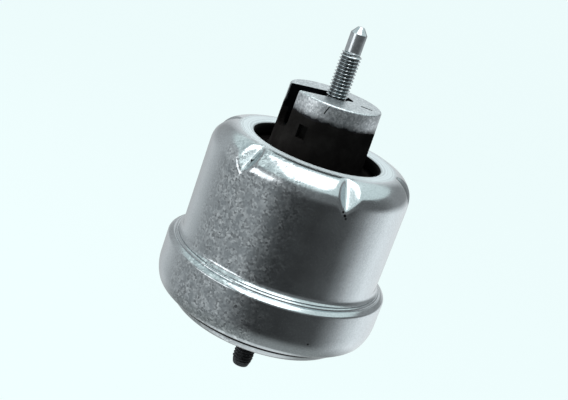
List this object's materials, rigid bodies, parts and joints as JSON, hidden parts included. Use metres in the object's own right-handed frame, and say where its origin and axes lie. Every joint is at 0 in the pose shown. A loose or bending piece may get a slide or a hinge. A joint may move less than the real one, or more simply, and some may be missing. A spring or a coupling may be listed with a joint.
{
  "type": "engine mount",
  "caption": "Hydraulic engine mount: darted steel can crimped round a rubber spring, slotted cast core with a pilot stud above, domed cover with a stud below.",
  "frame": {"origin": "centre of the flat seat under the bottom cover, where the lower stud comes out", "axes": "+Z along the mount's axis, up through the core and the upper stud; the core's slot opens towards -X"},
  "size_m": [0.086, 0.086, 0.1393],
  "materials": {
    "plated_steel": "satin",
    "cast_aluminium": "satin",
    "zinc_steel": "satin",
    "dark_steel": "satin",
    "rubber": "matte"
  },
  "bodies": {
    "root": {"housing": "plated_steel", "core": "cast_aluminium", "top_stud": "zinc_steel", "fill_ball": "zinc_steel", "main_spring": "rubber", "spring_ring": "plated_steel", "channel_body": "cast_aluminium", "channel_plate": "plated_steel", "decoupler": "rubber", "bellows_ring": "plated_steel", "bellows": "rubber", "bottom_cover": "plated_steel", "bottom_stud": "dark_steel"}
  },
  "joints": []
}
